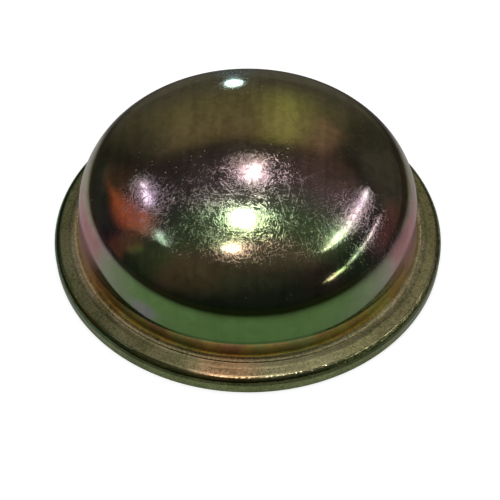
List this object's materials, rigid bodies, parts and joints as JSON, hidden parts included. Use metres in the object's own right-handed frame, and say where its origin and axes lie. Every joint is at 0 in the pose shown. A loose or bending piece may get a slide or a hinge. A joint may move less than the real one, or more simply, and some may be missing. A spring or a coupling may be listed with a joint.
{
  "type": "hub grease cap",
  "caption": "Pressed steel grease cap that closes a wheel hub: shallow dome on a short tapered wall, flat flange and turned-down rim.",
  "frame": {"origin": "centre of the rim's resting plane, where the cap's open side stands", "axes": "+Z along the axis of the dome, from the open side to the crown"},
  "size_m": [0.08, 0.08, 0.0273],
  "materials": {
    "plated_steel": "bright zinc plating with yellow iridescent passivation"
  },
  "bodies": {
    "root": {"grease_cap": "plated_steel"}
  },
  "joints": []
}
